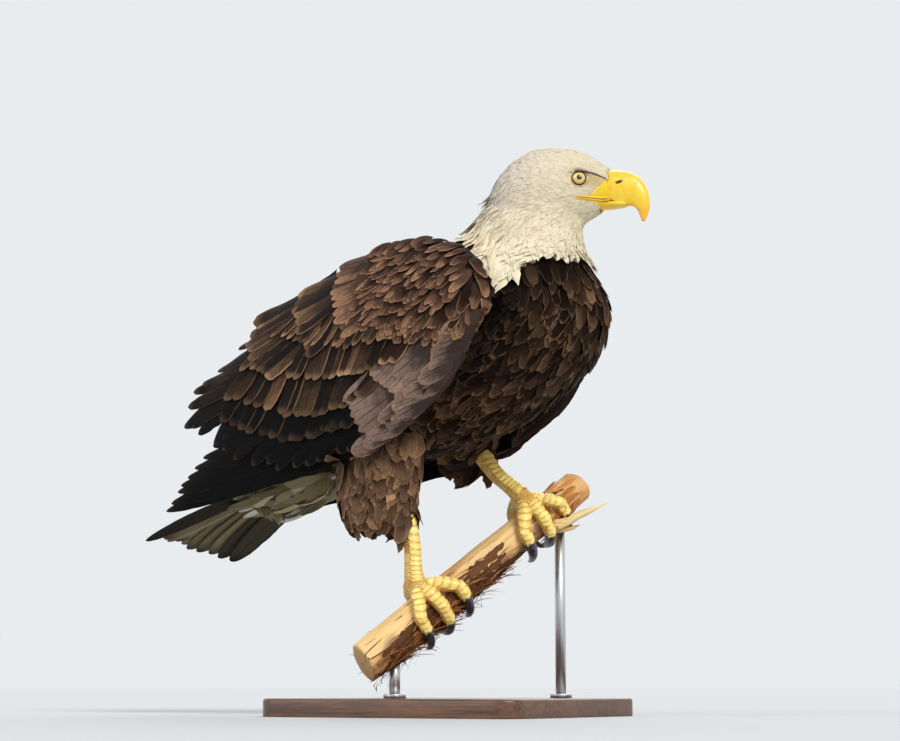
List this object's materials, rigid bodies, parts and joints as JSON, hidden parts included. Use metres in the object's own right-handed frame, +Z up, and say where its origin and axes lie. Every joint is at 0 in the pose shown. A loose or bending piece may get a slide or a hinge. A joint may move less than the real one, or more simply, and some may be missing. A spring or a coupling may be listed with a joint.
{
  "type": "bald eagle",
  "caption": "Life-size still model of an adult bald eagle gripping a short cut length of branch, held by two rods on a flat base.",
  "frame": {"origin": "centre of the underside of the stand's base, on the surface it stands on", "axes": "+X the way the bird's body faces, +Y the bird's left, +Z up"},
  "size_m": [0.6417, 0.2976, 0.6344],
  "materials": {
    "white_plumage": "matte",
    "dark_plumage": "matte",
    "bill": "satin",
    "eye": "gloss",
    "leg_skin": "satin",
    "claw": "satin",
    "branch_wood": "matte",
    "stand_wood": "satin",
    "stand_rod": "satin"
  },
  "bodies": {
    "root": {"head": "white_plumage", "neck": "white_plumage", "tail": "white_plumage", "trunk": "dark_plumage", "wing_left": "dark_plumage", "wing_right": "dark_plumage", "thigh_left": "dark_plumage", "thigh_right": "dark_plumage", "bill_upper": "bill", "bill_lower": "bill", "eye_left": "eye", "eye_right": "eye", "tarsus_left": "leg_skin", "tarsus_right": "leg_skin", "foot_left": "leg_skin", "foot_right": "leg_skin", "claw_left_inner": "claw", "claw_left_middle": "claw", "claw_left_outer": "claw", "claw_left_hind": "claw", "claw_right_inner": "claw", "claw_right_middle": "claw", "claw_right_outer": "claw", "claw_right_hind": "claw", "perch_branch": "branch_wood", "stand_base": "stand_wood", "stand_rod_low": "stand_rod", "stand_rod_high": "stand_rod"}
  },
  "joints": []
}
